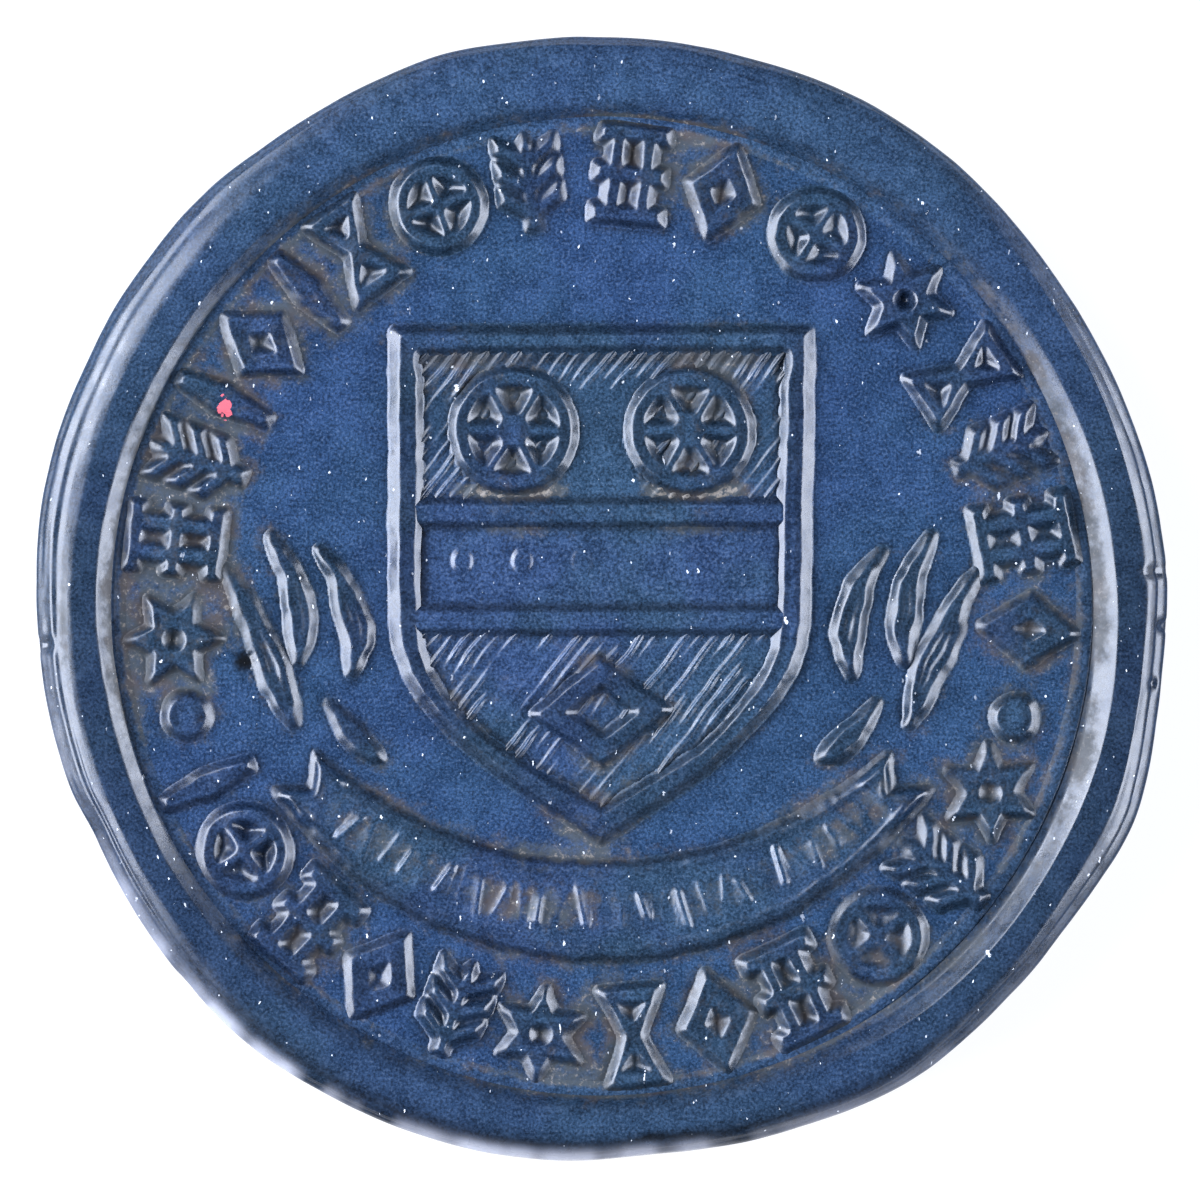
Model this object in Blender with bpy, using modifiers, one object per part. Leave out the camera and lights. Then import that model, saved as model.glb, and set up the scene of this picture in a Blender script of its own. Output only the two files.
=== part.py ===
"""A moulded transit token: a rimmed disc with a shield emblem and a ring of raised marks.

Units are metres, +Z is up and the token's axis is the Z axis. The token rests on the rim
of its reverse at Z = 0 and its obverse faces +Z. The real token is one moulding, so each
object here is one of its moulded features. The legend, the arms and the motto of a real
token are plain ornaments.
"""

import math

import bmesh
import bpy

MM = 0.001

# Blank
TOKEN_RADIUS = 11.5 * MM
TOKEN_THICKNESS = 2.0 * MM
FIELD_RECESS = 0.35 * MM
GAP = 0.02 * MM

# Rim, as radii from the axis and drops from the rest face
RIM_INNER_RADIUS = 10.0 * MM
RIM_TOP_INNER_RADIUS = 10.34 * MM
RIM_TOP_OUTER_RADIUS = 10.88 * MM
SHOULDER_RADIUS = 11.34 * MM
SHOULDER_DROP = 0.36 * MM
FLANK_RADIUS = 11.42 * MM
FLANK_DROP = 0.78 * MM
FLASH_HALF_HEIGHT = 0.06 * MM
STEP_WIDTH = 0.16 * MM
STEP_HEIGHT = 0.08 * MM

# Legend ring
MARK_HEIGHT = 1.95 * MM
MARK_RELIEF = 0.25 * MM
STROKE = 0.40 * MM
LEGEND_RADIUS = 8.76 * MM
PELLET_RADIUS = 0.42 * MM
PELLET_ORBIT = 8.72 * MM

# Shield
SHIELD_HALF_WIDTH = 4.20 * MM
SHIELD_TOP = 5.60 * MM
SHIELD_WAIST = -0.30 * MM
SHIELD_TIP = -4.75 * MM
BORDER_WIDTH = 0.52 * MM
PANEL_RELIEF = 0.05 * MM
BAND_TOP = 2.10 * MM
BAND_BOTTOM = -0.50 * MM
BAR_WIDTH = 0.42 * MM
WHEEL_RADIUS = 1.24 * MM
WHEEL_PLACE = (1.80 * MM, 3.58 * MM)
LOZENGE_SIZE = (2.75 * MM, 2.1 * MM)
LOZENGE_HEIGHT = -2.15 * MM

# Scroll and leaf sprays below and beside the shield
SCROLL_RADIUS = 8.27 * MM
SCROLL_CENTRE = 2.04 * MM
SCROLL_WIDTH = 1.9 * MM
SCROLL_END_WIDTH = 1.1 * MM
SCROLL_HALF_ANGLE = math.radians(49.0)
SCROLL_RELIEF = 0.14 * MM
SPRAY_RELIEF = 0.22 * MM

# Reverse
REVERSE_RING_RADIUS = 6.4 * MM
REVERSE_RING_WIDTH = 0.36 * MM
REVERSE_PANEL_RADIUS = 4.2 * MM

TURN_STEPS = 96
ROUND_POINTS = 32

OBVERSE_FIELD = TOKEN_THICKNESS - FIELD_RECESS
REVERSE_FIELD = FIELD_RECESS

NAVY = (0.040, 0.093, 0.225, 1.0)
TEAL_NAVY = (0.038, 0.098, 0.205, 1.0)
RIM_NAVY = (0.036, 0.080, 0.180, 1.0)


# ---------------------------------------------------------------- scene and materials

def clear_scene():
    for item in list(bpy.data.objects):
        bpy.data.objects.remove(item, do_unlink=True)


def new_collection(name):
    collection = bpy.data.collections.new(name)
    bpy.context.scene.collection.children.link(collection)
    return collection


def plastic(name, colour, roughness):
    material = bpy.data.materials.new(name)
    material.use_nodes = True
    shader = material.node_tree.nodes["Principled BSDF"]
    shader.inputs["Base Color"].default_value = colour
    shader.inputs["Roughness"].default_value = roughness
    shader.inputs["Metallic"].default_value = 0.0
    return material


def place(name, data, material, location=(0.0, 0.0, 0.0), turn=0.0):
    data.materials.append(material)
    item = bpy.data.objects.new(name, data)
    item.location = location
    item.rotation_euler = (0.0, 0.0, turn)
    TOKEN.objects.link(item)
    return item


# ---------------------------------------------------------------- shape makers

def turned(name, profile, material):
    """A ring made by turning a closed profile of (radius, height) about Z.

    The profile runs outwards along its top, down its outer side and back inwards.
    """
    mesh = bpy.data.meshes.new(name)
    count = len(profile)
    points = [(radius, 0.0, height) for radius, height in profile]
    edges = [(i, (i + 1) % count) for i in range(count)]
    mesh.from_pydata(points, edges, [])
    item = place(name, mesh, material)
    screw = item.modifiers.new("Turn", "SCREW")
    screw.axis = "Z"
    screw.angle = math.tau
    screw.steps = TURN_STEPS
    screw.render_steps = TURN_STEPS
    screw.use_merge_vertices = True
    screw.merge_threshold = 1e-7
    return item


def disc(name, radius, base, top, material, place_xy=(0.0, 0.0), sides=TURN_STEPS):
    """A round solid from a cylinder primitive."""
    mesh = bpy.data.meshes.new(name)
    form = bmesh.new()
    bmesh.ops.create_cone(
        form, cap_ends=True, segments=sides, radius1=radius, radius2=radius, depth=top - base
    )
    form.to_mesh(mesh)
    form.free()
    middle = 0.5 * (base + top)
    return place(name, mesh, material, (place_xy[0], place_xy[1], middle))


def flat_curve(name, loops, thickness):
    """A filled 2D curve whose later loops are holes in the first."""
    curve = bpy.data.curves.new(name, "CURVE")
    curve.dimensions = "2D"
    curve.fill_mode = "BOTH"
    curve.extrude = 0.5 * thickness
    for loop in loops:
        spline = curve.splines.new("POLY")
        spline.points.add(len(loop) - 1)
        for point, (x, y) in zip(spline.points, loop):
            point.co = (x, y, 0.0, 1.0)
        spline.use_cyclic_u = True
    return curve


def raised(name, loops, base, relief, material, place_xy=(0.0, 0.0), turn=0.0):
    """A flat raised feature that stands GAP clear of the surface at base."""
    curve = flat_curve(name, loops, relief - GAP)
    middle = base + 0.5 * (relief + GAP)
    return place(name, curve, material, (place_xy[0], place_xy[1], middle), turn)


# ---------------------------------------------------------------- outlines

def arc(radius, start, end, count, centre=(0.0, 0.0)):
    points = []
    for i in range(count + 1):
        angle = start + (end - start) * i / count
        x = centre[0] + radius * math.cos(angle)
        y = centre[1] + radius * math.sin(angle)
        points.append((x, y))
    return points


def circle(radius, count=ROUND_POINTS):
    return arc(radius, 0.0, math.tau, count)[:-1]


def rectangle(left, right, bottom, top):
    return [(left, bottom), (right, bottom), (right, top), (left, top)]


def mirrored(right_side):
    """Close a right half outline, listed from bottom to top, with its mirror image."""
    left_side = [(-x, y) for x, y in reversed(right_side) if x > 0.0]
    return right_side + left_side


def diamond(width, height):
    return mirrored([(0.0, -0.5 * height), (0.5 * width, 0.0), (0.0, 0.5 * height)])


def diamond_frame(width, height, stroke):
    """A diamond with a diamond hole that leaves a border of one stroke width."""
    diagonal = math.hypot(width, height)
    scale = 1.0 - 2.0 * stroke * diagonal / (width * height)
    return [diamond(width, height), diamond(width * scale, height * scale)]


def cubic(start, control_a, control_b, end, count):
    points = []
    for i in range(count + 1):
        t = i / count
        s = 1.0 - t
        weights = (s * s * s, 3.0 * s * s * t, 3.0 * s * t * t, t * t * t)
        knots = (start, control_a, control_b, end)
        x = sum(w * k[0] for w, k in zip(weights, knots))
        y = sum(w * k[1] for w, k in zip(weights, knots))
        points.append((x, y))
    return points


def spoked_wheel(radius, tyre, hub, spoke, spokes, points_per_window):
    """A round tyre with one window between each two spokes."""
    loops = [circle(radius)]
    inner = radius - tyre
    for i in range(spokes):
        start = math.tau * i / spokes
        end = math.tau * (i + 1) / spokes
        outer_trim = math.asin(0.5 * spoke / inner)
        hub_trim = math.asin(0.5 * spoke / hub)
        window = arc(inner, start + outer_trim, end - outer_trim, points_per_window)
        window += arc(hub, end - hub_trim, start + hub_trim, 2)
        loops.append(window)
    return loops


def leaf_blade(base, bend, tip, width, count=8):
    """A pointed blade along the bent line from base to tip."""
    left_side = []
    right_side = []
    for i in range(count + 1):
        t = i / count
        s = 1.0 - t
        x = s * s * base[0] + 2.0 * s * t * bend[0] + t * t * tip[0]
        y = s * s * base[1] + 2.0 * s * t * bend[1] + t * t * tip[1]
        along_x = s * (bend[0] - base[0]) + t * (tip[0] - bend[0])
        along_y = s * (bend[1] - base[1]) + t * (tip[1] - bend[1])
        length = math.hypot(along_x, along_y)
        half = 0.5 * width * (0.12 + 0.88 * math.sin(math.pi * t ** 0.8))
        across = (-along_y / length * half, along_x / length * half)
        left_side.append((x + across[0], y + across[1]))
        right_side.append((x - across[0], y - across[1]))
    return right_side + left_side[::-1]


# ---------------------------------------------------------------- legend marks

def lozenge_mark():
    return diamond_frame(1.42 * MM, MARK_HEIGHT, STROKE)


def track_mark():
    """Two rails across three sleepers."""
    rail_outer = 0.46 * MM
    rail_inner = rail_outer - 0.30 * MM
    sleeper_end = 0.70 * MM
    half_sleeper = 0.15 * MM
    spacing = 0.5 * MARK_HEIGHT - half_sleeper
    rows = (-spacing, 0.0, spacing)
    right_side = []
    for y in rows:
        right_side.append((rail_outer, y - half_sleeper))
        right_side.append((sleeper_end, y - half_sleeper))
        right_side.append((sleeper_end, y + half_sleeper))
        right_side.append((rail_outer, y + half_sleeper))
    loops = [mirrored(right_side[1:-1])]
    for low, high in zip(rows, rows[1:]):
        loops.append(rectangle(-rail_inner, rail_inner, low + half_sleeper, high - half_sleeper))
    return loops


def ear_mark():
    """A stalk with three pairs of grains."""
    half_stalk = 0.13 * MM
    half_width = 0.62 * MM
    rise = 0.34 * MM
    grain = 0.30 * MM
    right_side = [(half_stalk, -0.5 * MARK_HEIGHT)]
    for y in (-0.72 * MM, -0.20 * MM, 0.32 * MM):
        right_side.append((half_stalk, y))
        right_side.append((half_width, y + rise))
        right_side.append((half_width, y + rise + grain))
        right_side.append((half_stalk, y + grain))
    right_side.append((half_stalk, 0.38 * MARK_HEIGHT))
    right_side.append((0.0, 0.5 * MARK_HEIGHT))
    return [mirrored(right_side)]


def spindle_mark():
    half_end = 0.11 * MM
    half_belly = 0.27 * MM
    top = 0.5 * MARK_HEIGHT
    return [mirrored([(half_end, -top), (half_belly, 0.0), (half_end, top)])]


def hourglass_mark():
    """Two open triangles that meet at their tips."""
    half_width = 0.62 * MM
    half_waist = 0.17 * MM
    top = 0.5 * MARK_HEIGHT
    loops = [mirrored([(half_width, -top), (half_waist, 0.0), (half_width, top)])]
    hole_half_width = 0.27 * MM
    hole_base = 0.70 * top
    hole_tip = 0.34 * top
    for side in (-1.0, 1.0):
        hole = [(-hole_half_width, side * hole_base), (hole_half_width, side * hole_base)]
        hole.append((0.0, side * hole_tip))
        loops.append(hole)
    return loops


def star_mark():
    """A six-pointed star with a round eye."""
    outline = []
    for i in range(12):
        radius = 0.95 * MM if i % 2 == 0 else 0.50 * MM
        angle = math.pi * (0.5 + i / 6.0)
        outline.append((radius * math.cos(angle), radius * math.sin(angle)))
    return [outline, circle(0.20 * MM, 10)]


def wheel_mark():
    return spoked_wheel(0.88 * MM, 0.30 * MM, 0.20 * MM, 0.24 * MM, 4, 5)


MARKS = {
    "lozenge": (lozenge_mark, 1.42 * MM),
    "track": (track_mark, 1.40 * MM),
    "ear": (ear_mark, 1.24 * MM),
    "spindle": (spindle_mark, 0.54 * MM),
    "hourglass": (hourglass_mark, 1.24 * MM),
    "star": (star_mark, 1.65 * MM),
    "wheel": (wheel_mark, 1.76 * MM),
}

UPPER_LEFT = (
    "star", "track", "ear", "spindle", "lozenge", "spindle", "hourglass", "wheel", "ear"
)
UPPER_RIGHT = ("track", "lozenge", "wheel", "star", "hourglass", "ear", "track", "lozenge")
LOWER = (
    "spindle", "wheel", "track", "lozenge", "ear", "star",
    "hourglass", "lozenge", "track", "wheel", "ear", "star",
)


def arc_of_marks(prefix, kinds, first, last, material):
    """Raised marks with equal spaces between them, between two angles in degrees.

    Going clockwise the tops of the marks point outwards. Going anticlockwise, on the
    lower arc, they point inwards.
    """
    start = math.radians(first)
    sweep = math.radians(last) - start
    widths = [MARKS[kind][1] for kind in kinds]
    space = (abs(sweep) * LEGEND_RADIUS - sum(widths)) / (len(kinds) - 1)
    clockwise = sweep < 0.0
    travelled = 0.0
    for number, kind in enumerate(kinds, start=1):
        middle = travelled + 0.5 * MARKS[kind][1]
        travelled += MARKS[kind][1] + space
        angle = start + math.copysign(middle / LEGEND_RADIUS, sweep)
        turn = angle - 0.5 * math.pi if clockwise else angle + 0.5 * math.pi
        spot = (LEGEND_RADIUS * math.cos(angle), LEGEND_RADIUS * math.sin(angle))
        name = f"{prefix}_{number:02d}_{kind}"
        raised(name, MARKS[kind][0](), OBVERSE_FIELD, MARK_RELIEF, material, spot, turn)


def make_legend(material):
    arc_of_marks("legend_left", UPPER_LEFT, 189.5, 95.5, material)
    arc_of_marks("legend_right", UPPER_RIGHT, 90.5, -8.0, material)
    arc_of_marks("legend_lower", LOWER, 202.5, 339.5, material)
    for name, angle in (("pellet_left", 195.0), ("pellet_right", -15.0)):
        x = PELLET_ORBIT * math.cos(math.radians(angle))
        y = PELLET_ORBIT * math.sin(math.radians(angle))
        base = OBVERSE_FIELD + GAP
        top = OBVERSE_FIELD + MARK_RELIEF
        disc(name, PELLET_RADIUS, base, top, material, (x, y), 24)


# ---------------------------------------------------------------- blank

def rim_profile():
    """The rim's section, the same above and below the parting line."""
    top = TOKEN_THICKNESS
    middle = 0.5 * TOKEN_THICKNESS
    upper = [
        (RIM_INNER_RADIUS, OBVERSE_FIELD + STEP_HEIGHT),
        (RIM_TOP_INNER_RADIUS, top),
        (RIM_TOP_OUTER_RADIUS, top),
        (0.5 * (RIM_TOP_OUTER_RADIUS + SHOULDER_RADIUS), top - 0.25 * SHOULDER_DROP),
        (SHOULDER_RADIUS, top - SHOULDER_DROP),
        (FLANK_RADIUS, top - FLANK_DROP),
        (TOKEN_RADIUS, middle + FLASH_HALF_HEIGHT),
    ]
    lower = [(radius, TOKEN_THICKNESS - height) for radius, height in reversed(upper)]
    return upper + lower


def step_profile(inner, low, high):
    outer = inner + STEP_WIDTH
    return [(inner, high), (outer, high), (outer, low), (inner, low)]


def make_blank(rim_material, field_material):
    web_radius = RIM_INNER_RADIUS - GAP
    turned("rim", rim_profile(), rim_material)
    disc("field_web", web_radius, REVERSE_FIELD, OBVERSE_FIELD, field_material)
    step_inner = web_radius - STEP_WIDTH
    obverse_step = step_profile(step_inner, OBVERSE_FIELD + GAP, OBVERSE_FIELD + STEP_HEIGHT)
    turned("obverse_step_ring", obverse_step, rim_material)
    reverse_step = step_profile(step_inner, REVERSE_FIELD - STEP_HEIGHT, REVERSE_FIELD - GAP)
    turned("reverse_step_ring", reverse_step, rim_material)


# ---------------------------------------------------------------- shield emblem

def shield_outline(inset):
    """A heater shield, drawn in from its outer edge by inset."""
    half_width = SHIELD_HALF_WIDTH - inset
    tip = SHIELD_TIP + 1.19 * inset
    top = SHIELD_TOP - inset
    side = cubic(
        (0.0, tip),
        (0.43 * half_width, tip + 0.28 * half_width),
        (half_width, SHIELD_WAIST - 1.9 * MM),
        (half_width, SHIELD_WAIST),
        10,
    )
    return mirrored(side + [(half_width, top)])


def below(outline, level):
    """The part of an outline that lies under a level that crosses its straight sides."""
    kept = [(x, y) for x, y in outline if y < level]
    half_width = max(x for x, _ in outline)
    right_side = [point for point in kept if point[0] >= 0.0]
    return mirrored(right_side + [(half_width, level)])


def make_shield(relief_material, ground_material):
    border = [shield_outline(0.0), shield_outline(BORDER_WIDTH)]
    raised("shield_border", border, OBVERSE_FIELD, MARK_RELIEF, relief_material)
    inside = BORDER_WIDTH + GAP
    edge = SHIELD_HALF_WIDTH - inside
    upper = [rectangle(-edge, edge, BAND_TOP + GAP, SHIELD_TOP - inside)]
    raised("hatch_panel_upper", upper, OBVERSE_FIELD, PANEL_RELIEF, ground_material)
    lower = [below(shield_outline(inside), BAND_BOTTOM - GAP)]
    raised("hatch_panel_lower", lower, OBVERSE_FIELD, PANEL_RELIEF, ground_material)
    bars = (
        ("band_bar_upper", BAND_TOP - BAR_WIDTH, BAND_TOP),
        ("band_bar_lower", BAND_BOTTOM, BAND_BOTTOM + BAR_WIDTH),
    )
    for name, low, high in bars:
        bar = [rectangle(-edge, edge, low, high)]
        raised(name, bar, OBVERSE_FIELD, 0.8 * MARK_RELIEF, relief_material)
    band_low = BAND_BOTTOM + BAR_WIDTH + GAP
    band_high = BAND_TOP - BAR_WIDTH - GAP
    band = [rectangle(-edge, edge, band_low, band_high)]
    raised("band_panel", band, OBVERSE_FIELD, 0.4 * MARK_RELIEF, ground_material)


def make_charges(material):
    """Two wheels above the band and a lozenge below it, on the hatched panels."""
    ground = OBVERSE_FIELD + PANEL_RELIEF
    relief = MARK_RELIEF - PANEL_RELIEF
    wheel = spoked_wheel(WHEEL_RADIUS, 0.34 * MM, 0.36 * MM, 0.24 * MM, 6, 4)
    for name, side in (("wheel_left", -1.0), ("wheel_right", 1.0)):
        spot = (side * WHEEL_PLACE[0], WHEEL_PLACE[1])
        raised(name, wheel, ground, relief, material, spot)
    lozenge = diamond_frame(LOZENGE_SIZE[0], LOZENGE_SIZE[1], STROKE)
    raised("lozenge", lozenge, ground, relief, material, (0.0, LOZENGE_HEIGHT))


# ---------------------------------------------------------------- scroll and sprays

def scroll_outline(count=20):
    """A curved ribbon below the shield, narrower towards its notched ends."""
    outer = []
    inner = []
    for i in range(count + 1):
        part = 2.0 * i / count - 1.0
        angle = SCROLL_HALF_ANGLE * part
        half_width = 0.5 * (SCROLL_WIDTH + (SCROLL_END_WIDTH - SCROLL_WIDTH) * part * part)
        for side, row in ((1.0, outer), (-1.0, inner)):
            radius = SCROLL_RADIUS + side * half_width
            row.append((radius * math.sin(angle), SCROLL_CENTRE - radius * math.cos(angle)))
    notch_angle = SCROLL_HALF_ANGLE - math.radians(3.5)
    notch_x = SCROLL_RADIUS * math.sin(notch_angle)
    notch_y = SCROLL_CENTRE - SCROLL_RADIUS * math.cos(notch_angle)
    return outer + [(notch_x, notch_y)] + inner[::-1] + [(-notch_x, notch_y)]


def make_scroll(material):
    raised("scroll", [scroll_outline()], OBVERSE_FIELD, SCROLL_RELIEF, material)
    blades = (
        ("outer", (6.25, -2.45), (6.75, -0.90), (7.65, 0.75), 0.56),
        ("middle", (6.20, -1.20), (5.95, 0.20), (6.75, 1.45), 0.50),
        ("inner", (5.10, -1.45), (4.70, -0.10), (5.75, 1.15), 0.50),
        ("stem", (4.50, -3.15), (5.10, -2.70), (5.60, -1.95), 0.42),
    )
    for side_name, side in (("left", -1.0), ("right", 1.0)):
        for blade, base, bend, tip, width in blades:
            knots = [(side * x * MM, y * MM) for x, y in (base, bend, tip)]
            outline = leaf_blade(*knots, width * MM)
            name = f"spray_{side_name}_{blade}"
            raised(name, [outline], OBVERSE_FIELD, SPRAY_RELIEF, material)


# ---------------------------------------------------------------- reverse

def make_reverse(material):
    """A thin ring and a plain low panel, where a real token states its value."""
    ring_outer = REVERSE_RING_RADIUS + 0.5 * REVERSE_RING_WIDTH
    ring_inner = REVERSE_RING_RADIUS - 0.5 * REVERSE_RING_WIDTH
    low = REVERSE_FIELD - 0.20 * MM
    high = REVERSE_FIELD - GAP
    ring = [(ring_inner, high), (ring_outer, high), (ring_outer, low), (ring_inner, low)]
    turned("reverse_ring", ring, material)
    disc("reverse_panel", REVERSE_PANEL_RADIUS, REVERSE_FIELD - 0.12 * MM, high, material)


clear_scene()
TOKEN = new_collection("transit_token")
rim_plastic = plastic("rim_plastic", RIM_NAVY, 0.38)
field_plastic = plastic("field_plastic", NAVY, 0.45)
relief_plastic = plastic("relief_plastic", TEAL_NAVY, 0.42)
make_blank(rim_plastic, field_plastic)
make_legend(relief_plastic)
make_shield(relief_plastic, field_plastic)
make_charges(relief_plastic)
make_scroll(relief_plastic)
make_reverse(field_plastic)
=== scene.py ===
import math

import bpy
import numpy as np
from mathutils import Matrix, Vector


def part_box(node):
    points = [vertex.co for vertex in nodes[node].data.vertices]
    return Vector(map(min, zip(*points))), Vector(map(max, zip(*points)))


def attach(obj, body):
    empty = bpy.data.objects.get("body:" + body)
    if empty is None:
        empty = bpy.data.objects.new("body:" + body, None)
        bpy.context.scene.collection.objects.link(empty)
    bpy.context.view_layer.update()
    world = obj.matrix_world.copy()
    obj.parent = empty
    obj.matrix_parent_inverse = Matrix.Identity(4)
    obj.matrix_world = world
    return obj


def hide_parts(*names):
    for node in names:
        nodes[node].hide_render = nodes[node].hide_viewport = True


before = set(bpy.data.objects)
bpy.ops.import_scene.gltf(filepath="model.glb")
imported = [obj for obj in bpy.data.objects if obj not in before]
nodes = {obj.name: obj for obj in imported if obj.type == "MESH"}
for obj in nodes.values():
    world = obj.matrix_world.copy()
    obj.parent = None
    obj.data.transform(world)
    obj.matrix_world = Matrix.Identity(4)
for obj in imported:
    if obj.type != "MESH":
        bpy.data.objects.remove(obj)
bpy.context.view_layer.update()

# A moulded transit token: a closed mesh in place of each solid of the frame, with drafted walls,
# wear, dirt and painted shade. Lengths are in metres.

MM = 0.001
TOLERANCE = 0.001 * MM

# Levels and radii of the token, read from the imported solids
WEB_LOW, WEB_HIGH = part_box("field_web")
OBVERSE_FIELD = WEB_HIGH.z
REVERSE_FIELD = WEB_LOW.z
WEB_RADIUS = WEB_HIGH.x
RIM_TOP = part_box("rim")[1].z
MIDDLE = 0.5 * RIM_TOP
PANEL_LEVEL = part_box("hatch_panel_upper")[1].z

# Drafted walls of the raised marks: how far a wall runs out of and into its outline, and the
# share of its width that each fillet takes
WALL_OUT = 0.14 * MM
WALL_IN = 0.08 * MM
FILLET = 0.14

# Each mark is a patch of a grid, which runs on past the foot of its wall just under the floor
CELL = 0.035 * MM
HATCH_CELL = 0.032 * MM
SINK = 0.003 * MM
PATCH_MARGIN = 0.10 * MM
PATCH_DEPTH = 0.09 * MM
GRID_MARGIN = 0.25 * MM
FAR = 1.0 * MM

# Painted shade on the marks' walls, the dark colour of the chipped pit, and the least dirt on a
# crest
WALL_SHADE = 0.62
PIT_SHADE = 0.97
CREST_GRIME = 0.32

# Turned pieces: steps round the axis, the web's columns from the flat cap in its middle to its
# edge, and the width of the columns across the rim's section
RIM_STEPS = 900
WEB_STEPS = 720
WEB_TOP_COLUMNS = 108
WEB_LOW_COLUMNS = 14
HUB_RADIUS = 0.4 * MM
REVERSE_STEPS = 480
FINE_COLUMN = 0.030 * MM
COARSE_COLUMN = 0.110 * MM
HIDDEN_COLUMN = 1.0 * MM

# Radii at the foot of the rim's wall and of the step, where dirt gathers
RIM_FOOT = WEB_RADIUS - 0.01 * MM
STEP_RADIUS = 9.72 * MM


# -------- noise

def lattice(ix, iy, seed):
    """A scattered value from 0 to 1 for each point of a unit lattice."""
    value = np.sin(ix * 127.1 + iy * 311.7 + seed * 74.7) * 43758.5453
    return value - np.floor(value)


def value_noise(x, y, seed):
    """Smooth noise from -1 to 1 on a unit lattice."""
    ix, iy = np.floor(x), np.floor(y)
    fx, fy = x - ix, y - iy
    fx = fx * fx * (3.0 - 2.0 * fx)
    fy = fy * fy * (3.0 - 2.0 * fy)
    low = lattice(ix, iy, seed) * (1.0 - fx) + lattice(ix + 1, iy, seed) * fx
    high = lattice(ix, iy + 1, seed) * (1.0 - fx) + lattice(ix + 1, iy + 1, seed) * fx
    return 2.0 * (low * (1.0 - fy) + high * fy) - 1.0


def fractal_noise(x, y, wave, seed, octaves=3):
    """Smooth noise with waves of that size, and finer and fainter ones on them."""
    x, y = x / wave, y / wave
    total = 0.0
    size = 1.0
    for octave in range(octaves):
        total = total + size * value_noise(x * 2.0 ** octave, y * 2.0 ** octave, seed + octave)
        size *= 0.5
    return total


def round_noise(angle, waves, seed):
    """Noise round a circle that meets itself, with about that many waves in a turn."""
    radius = waves / math.tau
    x = radius * np.cos(angle) + 137.0
    y = radius * np.sin(angle) + 211.0
    return fractal_noise(x, y, 1.0, seed, 2)


def hump(offset, width, power=2):
    """1 where the offset is 0, falling to 0 past the width; a higher power is flatter on top."""
    return np.exp(-(offset / width) ** power)


def soft_step(offset, width):
    """0 well below an offset of 0 and 1 well above it."""
    return 1.0 / (1.0 + np.exp(-offset / width))


def bell(angle, centre, width):
    """A hump round a circle; centre and width are in degrees."""
    return hump(np.angle(np.exp(1j * (angle - math.radians(centre)))), math.radians(width))


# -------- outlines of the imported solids

def top_outline(name):
    """The border of a node's upper face, as rows of x0, y0, x1, y1, to the nearest 0.1 micron."""
    mesh = nodes[name].data
    mesh.calc_loop_triangles()
    points = np.array([v.co for v in mesh.vertices], float)
    level = points[:, 2].max()
    uses = {}
    for triangle in mesh.loop_triangles:
        corners = points[list(triangle.vertices)]
        if np.abs(corners[:, 2] - level).max() > TOLERANCE:
            continue
        keys = [(round(x * 1e7), round(y * 1e7)) for x, y in corners[:, :2]]
        for a, b in ((0, 1), (1, 2), (2, 0)):
            edge = tuple(sorted((keys[a], keys[b])))
            uses[edge] = uses.get(edge, 0) + 1
    border = [a + b for (a, b), count in uses.items() if count == 1]
    return np.array(border, float) * 1e-7


def loops_of(segments):
    """The separate closed loops of an outline, the widest first."""
    left = [tuple(s) for s in segments]
    loops = []
    while left:
        chain = [left.pop()]
        end = chain[0][2:]
        while True:
            following = [s for s in left if end in (s[:2], s[2:])]
            if not following:
                break
            left.remove(following[0])
            chain.append(following[0])
            end = following[0][2:] if following[0][:2] == end else following[0][:2]
        loops.append(np.array(chain))
    return sorted(loops, key=lambda loop: -np.ptp(loop[:, 0]))


def signed_distance(x, y, segments):
    """Distance to an outline, negative inside it."""
    nearest = np.full(x.shape, 1.0)
    inside = np.zeros(x.shape, bool)
    for x0, y0, x1, y1 in segments:
        dx, dy = x1 - x0, y1 - y0
        along = ((x - x0) * dx + (y - y0) * dy) / (dx * dx + dy * dy)
        along = np.clip(along, 0.0, 1.0)
        gap_x = x - x0 - along * dx
        gap_y = y - y0 - along * dy
        nearest = np.minimum(nearest, gap_x * gap_x + gap_y * gap_y)
        if y0 != y1:
            crosses = (y0 > y) != (y1 > y)
            inside ^= crosses & (x < x0 + (y - y0) * dx / dy)
    distance = np.sqrt(nearest)
    return np.where(inside, -distance, distance)


OUTLINES = {
    name: top_outline(name)
    for name in nodes
    if name not in ("rim", "field_web") and not name.endswith("ring") and "reverse" not in name
}
SHIELD_HOLE = loops_of(OUTLINES["shield_border"])[1]
SHIELD_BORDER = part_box("shield_border")[1].x - SHIELD_HOLE[:, 0].max()


# -------- dirt and wear

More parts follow.
